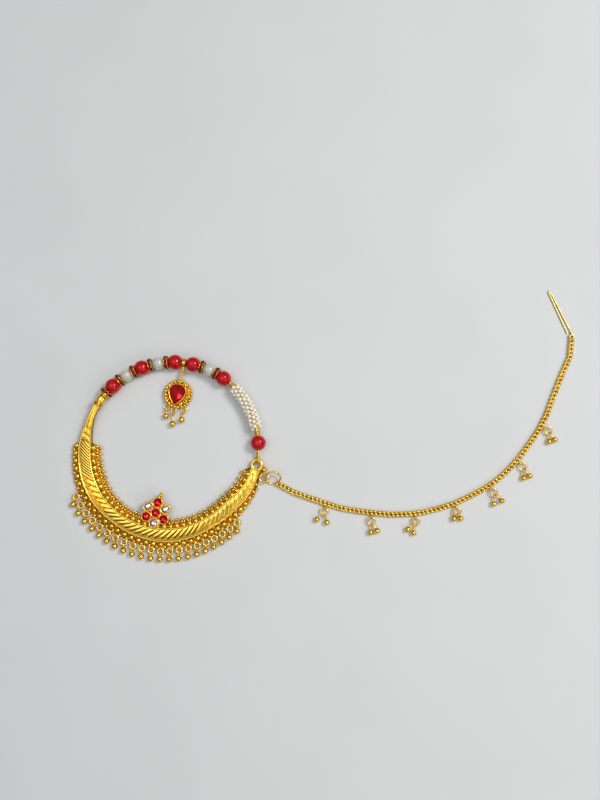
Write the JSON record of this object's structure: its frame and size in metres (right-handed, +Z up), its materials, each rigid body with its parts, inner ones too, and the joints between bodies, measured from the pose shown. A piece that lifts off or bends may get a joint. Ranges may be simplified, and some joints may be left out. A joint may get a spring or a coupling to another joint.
{
  "type": "nath nose ring",
  "caption": "Gold-tone hoop nose ring with a cast feather crescent, ball fringe, red and white beads, pear pendant, and a charm chain to a hair hook.",
  "frame": {"origin": "centre of the outline's box, on the surface that the jewel lies on", "axes": "+Z up from the surface, +X from the hoop towards the hair hook, +Y from the fringe towards the beads"},
  "size_m": [0.1572, 0.0846, 0.0045],
  "materials": {
    "gold_plate": "polished gold-tone plate",
    "pale_brass": "drawn, semi-bright",
    "red_glass": "polished translucent",
    "pearl": "pearl coated",
    "white_seed_glass": "lustred",
    "garnet_rondelle": "gold-tone rims set with small dark red stones",
    "red_crystal": "faceted, foiled",
    "clear_crystal": "faceted, foiled"
  },
  "bodies": {
    "root": {"hoop_wire": "gold_plate", "crescent": "gold_plate", "flower_cluster": "gold_plate", "pendant": "gold_plate", "coil_1": "gold_plate", "coil_2": "gold_plate", "jump_ring": "gold_plate", "chain": "gold_plate", "red_bead_1": "red_glass", "red_bead_2": "red_glass", "red_bead_3": "red_glass", "red_bead_4": "red_glass", "red_bead_5": "red_glass", "red_bead_6": "red_glass", "pearl_1": "pearl", "pearl_2": "pearl", "pearl_3": "pearl", "rondelle_1": "garnet_rondelle", "rondelle_2": "garnet_rondelle", "rondelle_3": "garnet_rondelle", "rondelle_4": "garnet_rondelle", "rondelle_5": "garnet_rondelle", "rondelle_6": "garnet_rondelle", "rondelle_7": "garnet_rondelle", "seed_bead_sleeve": "white_seed_glass", "fringe_drop_1": "gold_plate", "fringe_drop_2": "gold_plate", "fringe_drop_3": "gold_plate", "fringe_drop_4": "gold_plate", "fringe_drop_5": "gold_plate", "fringe_drop_6": "gold_plate", "fringe_drop_7": "gold_plate", "fringe_drop_8": "gold_plate", "fringe_drop_9": "gold_plate", "fringe_drop_10": "gold_plate", "fringe_drop_11": "gold_plate", "fringe_drop_12": "gold_plate", "fringe_drop_13": "gold_plate", "fringe_drop_14": "gold_plate", "fringe_drop_15": "gold_plate", "fringe_drop_16": "gold_plate", "fringe_drop_17": "gold_plate", "fringe_drop_18": "gold_plate", "fringe_drop_19": "gold_plate", "fringe_drop_20": "gold_plate", "fringe_drop_21": "gold_plate", "pendant_drop_1": "gold_plate", "pendant_drop_2": "gold_plate", "pendant_drop_3": "gold_plate", "charm_1": "gold_plate", "charm_2": "gold_plate", "charm_3": "gold_plate", "charm_4": "gold_plate", "charm_5": "gold_plate", "charm_6": "gold_plate", "charm_7": "gold_plate", "hair_hook": "pale_brass"}
  },
  "joints": []
}
